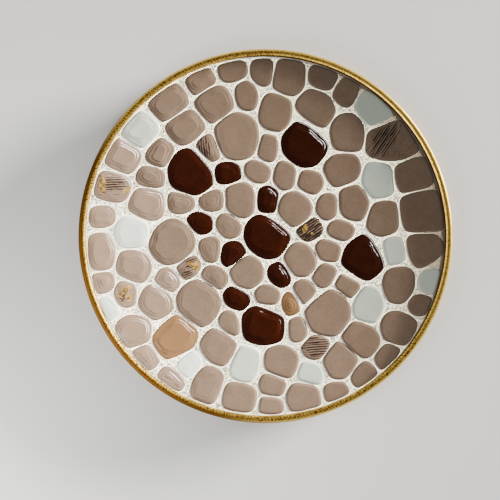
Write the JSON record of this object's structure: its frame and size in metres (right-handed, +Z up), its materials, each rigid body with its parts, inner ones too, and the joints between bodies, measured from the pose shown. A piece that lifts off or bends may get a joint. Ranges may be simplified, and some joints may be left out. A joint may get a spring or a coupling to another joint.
{
  "type": "mosaic dish",
  "caption": "Round shallow brass dish with a rolled, knurled rim, filled with glazed ceramic tiles shaped like pebbles, set in white grout.",
  "frame": {"origin": "centre of the dish's flat underside, in the plane it rests on", "axes": "+Z up out of the dish's face; +Y towards the top of the mosaic as the picture shows it"},
  "size_m": [0.3, 0.3, 0.0125],
  "materials": {
    "brass": "polished, lightly aged",
    "grout": "rough cement grout",
    "glaze_beige": "glossy beige-pink glaze, lightly mottled",
    "glaze_white": "glossy cool white glaze",
    "glaze_brown": "very glossy dark brown glaze",
    "glaze_lustre": "glossy beige glaze with dark strokes and gold lustre",
    "glaze_tan": "glossy tan glaze"
  },
  "bodies": {
    "root": {"brass_tray": "brass", "grout_bed": "grout", "tile_beige_01": "glaze_beige", "tile_beige_02": "glaze_beige", "tile_beige_03": "glaze_beige", "tile_beige_04": "glaze_beige", "tile_beige_05": "glaze_beige", "tile_beige_06": "glaze_beige", "tile_beige_07": "glaze_beige", "tile_beige_08": "glaze_beige", "tile_beige_09": "glaze_beige", "tile_beige_10": "glaze_beige", "tile_beige_11": "glaze_beige", "tile_beige_12": "glaze_beige", "tile_beige_13": "glaze_beige", "tile_beige_14": "glaze_beige", "tile_beige_15": "glaze_beige", "tile_beige_16": "glaze_beige", "tile_beige_17": "glaze_beige", "tile_beige_18": "glaze_beige", "tile_beige_19": "glaze_beige", "tile_beige_20": "glaze_beige", "tile_beige_21": "glaze_beige", "tile_beige_22": "glaze_beige", "tile_beige_23": "glaze_beige", "tile_beige_24": "glaze_beige", "tile_beige_25": "glaze_beige", "tile_beige_26": "glaze_beige", "tile_beige_27": "glaze_beige", "tile_brown_01": "glaze_brown", "tile_brown_02": "glaze_brown", "tile_brown_03": "glaze_brown", "tile_brown_04": "glaze_brown", "tile_brown_05": "glaze_brown", "tile_brown_06": "glaze_brown", "tile_brown_07": "glaze_brown", "tile_brown_08": "glaze_brown", "tile_brown_09": "glaze_brown", "tile_brown_10": "glaze_brown", "tile_brown_11": "glaze_brown", "tile_lustre_01": "glaze_lustre", "tile_lustre_02": "glaze_lustre", "tile_lustre_03": "glaze_lustre", "tile_lustre_04": "glaze_lustre", "tile_lustre_05": "glaze_lustre", "tile_lustre_06": "glaze_lustre", "tile_lustre_07": "glaze_lustre", "tile_tan_01": "glaze_tan", "tile_tan_02": "glaze_tan", "tile_white_01": "glaze_white", "tile_white_02": "glaze_white", "tile_white_03": "glaze_white", "tile_white_04": "glaze_white", "tile_white_05": "glaze_white", "tile_white_06": "glaze_white", "tile_white_07": "glaze_white", "tile_white_08": "glaze_white", "tile_white_09": "glaze_white", "tile_white_10": "glaze_white", "tile_white_11": "glaze_white"}
  },
  "joints": []
}
